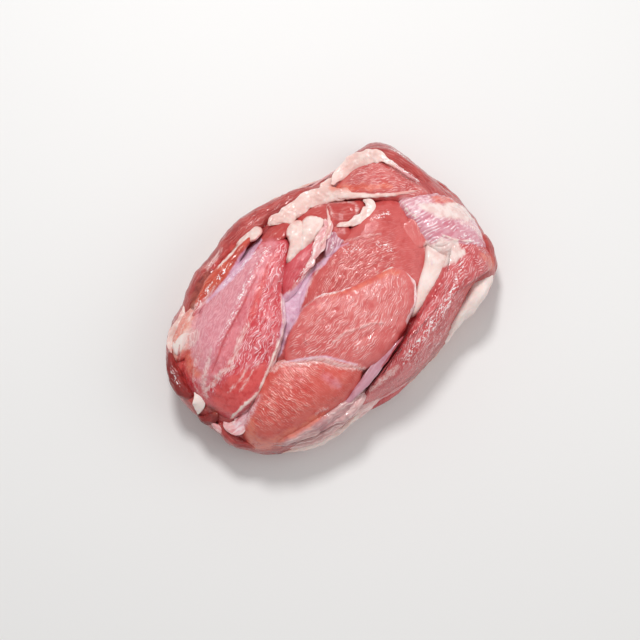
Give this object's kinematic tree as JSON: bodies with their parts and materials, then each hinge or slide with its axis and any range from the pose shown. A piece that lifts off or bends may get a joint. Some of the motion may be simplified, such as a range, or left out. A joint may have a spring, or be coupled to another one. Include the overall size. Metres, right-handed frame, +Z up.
{
  "type": "boneless lamb leg meat",
  "caption": "Raw boneless lamb leg, a low rounded piece of pink-red muscles under cream fat seams and silverskin, resting on its flat underside.",
  "frame": {"origin": "middle of the piece's underside, at the bottom centre of its bounding box", "axes": "+X along the long side of the piece, +Y across it, +Z up from the surface it rests on"},
  "size_m": [0.2094, 0.1418, 0.0616],
  "materials": {
    "raw_lamb": "moist raw lamb, pink-red with paler fibres, cream fat and lilac silverskin"
  },
  "bodies": {
    "root": {"lamb_leg_meat": "raw_lamb"}
  },
  "joints": []
}
